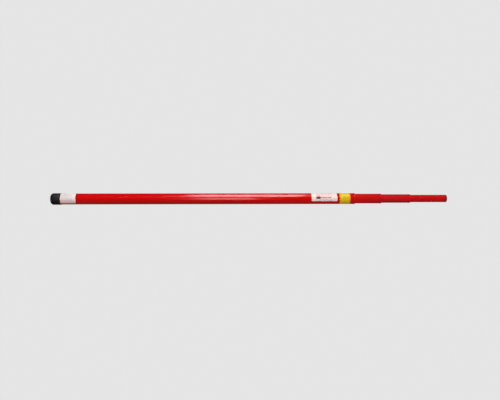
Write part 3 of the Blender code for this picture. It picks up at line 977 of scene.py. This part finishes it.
def cone_nut(name, body, look):
    """The nut that the screw draws into the sleeve, with a key for each of its slots."""
    node = name + "_cone_nut"
    start, end = span(node)
    key_top = radius(node)
    sleeve_end = span(name + "_expander_sleeve")[1]
    mouth = radius(name + "_expander_sleeve") - SLEEVE_MOUTH_WALL
    wide = mouth - CONE_TRAVEL * CONE_SLOPE - GLUE_GAP
    collar_start = end - CONE_COLLAR
    collar = wide + (collar_start - sleeve_end) * CONE_SLOPE
    narrow = wide + (start - sleeve_end) * CONE_SLOPE
    hole = SCREW_RADIUS + NUT_CLEARANCE
    outline = [
        (start, hole + CONE_SINK), (start, narrow - CONE_BREAK), (start + CONE_BREAK, narrow),
        (collar_start, collar), (end - CONE_EDGE, collar), (end, collar - CONE_EDGE),
        (end, hole + CONE_SINK), (end - CONE_SINK, hole), (start + CONE_SINK, hole),
    ]
    nut = lathe(outline)
    half = KEY_WIDTH / 2
    for quarter in range(4):
        key = block(
            (start + KEY_BACK, -half, AXIS + narrow - KEY_ROOT),
            (end - KEY_FRONT, half, AXIS + key_top),
        )
        turn = Matrix.Rotation(quarter * math.pi / 2, 3, "X")
        bmesh.ops.rotate(key, verts=key.verts, cent=(0, 0, AXIS), matrix=turn)
        nut = cut(nut, key, "UNION")
    add_piece(node + "_keyed", nut, look, body, node)


def locks():
    black = moulded("black_nylon", (0.022, 0.022, 0.024), (0.015, 0.015, 0.017), 0.42, 700.0)
    natural = moulded("natural_nylon", (0.74, 0.70, 0.60), (0.66, 0.62, 0.52), 0.4, 500.0)
    steel = zinc()
    for name in ("second", "third", "tip"):
        body = name + "_section"
        lock_plug(name, body, black)
        pin(name + "_plug_pin", body, steel)
        lock_screw(name, body, steel)
        thrust_washer(name, body, steel)
        end_nut(name, body, steel)
        expander_sleeve(name, name + "_sleeve", natural)
        cone_nut(name, name + "_cone", black)
    pin("tip_ferrule_pin", "tip_section", steel)
    bumper(rubber())


# ---------------------------------------------------------------------------------------------
# Stage
# ---------------------------------------------------------------------------------------------


def facing(place, ahead):
    """A transform at a place, with -Z along ahead and X as near the pole's direction as it goes."""
    right = (Vector((1, 0, 0)) - ahead * ahead.x).normalized()
    turn = Matrix((right, right.cross(ahead), -ahead)).transposed()
    return Matrix.Translation(place) @ turn.to_4x4()


def add_camera():
    """A camera in front of the pole and above it, turned so that the pole lies level."""
    aim = Vector((CAMERA_AIM, 0.0, AXIS))
    along = math.cos(CAMERA_YAW)
    ahead = Vector((
        math.sin(CAMERA_YAW), along * math.cos(CAMERA_ELEVATION), -along * math.sin(CAMERA_ELEVATION),
    ))
    data = bpy.data.cameras.new("camera")
    data.lens = CAMERA_LENS
    data.clip_start = 0.01
    camera = bpy.data.objects.new("camera", data)
    bpy.context.scene.collection.objects.link(camera)
    drop = Matrix.Translation((0, -CAMERA_DROP, 0))
    turn = Matrix.Rotation(CAMERA_ROLL, 4, "Z")
    camera.matrix_world = facing(aim - ahead * CAMERA_DISTANCE, ahead) @ drop @ turn
    bpy.context.scene.camera = camera


def add_stage():
    """A pale floor that fades into a pale surround. Both glow evenly, so that no shadow falls. The
    floor's glow lights the pole from below."""
    look = bpy.data.materials.new("stage")
    look.use_nodes = True
    nodes = look.node_tree.nodes
    nodes.clear()
    glow = nodes.new("ShaderNodeEmission")
    glow.inputs["Color"].default_value = (PALE, PALE, PALE, 1.0)
    output = nodes.new("ShaderNodeOutputMaterial")
    look.node_tree.links.new(glow.outputs[0], output.inputs["Surface"])
    for name in ("floor", "surround"):
        bm = bmesh.new()
        if name == "floor":
            bmesh.ops.create_circle(bm, cap_ends=True, segments=STAGE_SIDES, radius=STAGE_REACH)
        else:
            bmesh.ops.create_uvsphere(bm, u_segments=48, v_segments=24, radius=STAGE_REACH)
        mesh = bpy.data.meshes.new(name)
        bm.to_mesh(mesh)
        bm.free()
        mesh.materials.append(look)
        made = bpy.data.objects.new(name, mesh)
        bpy.context.scene.collection.objects.link(made)
        made.visible_shadow = False
        made.visible_glossy = False
        made.visible_diffuse = name == "floor"


def add_lights():
    """A broad key from overhead, and two panels that draw the long glints on the outer tube."""
    for panel in PANELS:
        angle = CAMERA_ELEVATION + math.radians(panel.angle)
        place = on_pole(panel.x, panel.distance, angle)
        data = bpy.data.lights.new(panel.name, "AREA")
        data.shape = "RECTANGLE"
        data.size, data.size_y = panel.size
        data.energy = panel.watts
        light = bpy.data.objects.new(panel.name, data)
        bpy.context.scene.collection.objects.link(light)
        light.visible_glossy = panel.glint
        light.visible_diffuse = not panel.glint
        light.visible_camera = False
        light.matrix_world = facing(place, (on_pole(panel.x, 0.0, angle) - place).normalized())

    world = bpy.data.worlds.new("world")
    world.use_nodes = True
    sky = world.node_tree.nodes["Background"]
    sky.inputs["Color"].default_value = (1.0, 1.0, 1.0, 1.0)
    sky.inputs["Strength"].default_value = SKY_STRENGTH
    bpy.context.scene.world = world
    bpy.context.scene.view_settings.view_transform = "Standard"


def build():
    add_camera()
    add_stage()
    add_lights()
    for name, (base, deep, rubbed) in REDS.items():
        look = lacquer(name + "_lacquer", base, deep, rubbed)
        tube(name, look)
        if name == "tip":
            tip_end(look)
    cap()
    bushes()
    labels()
    locks()


build()
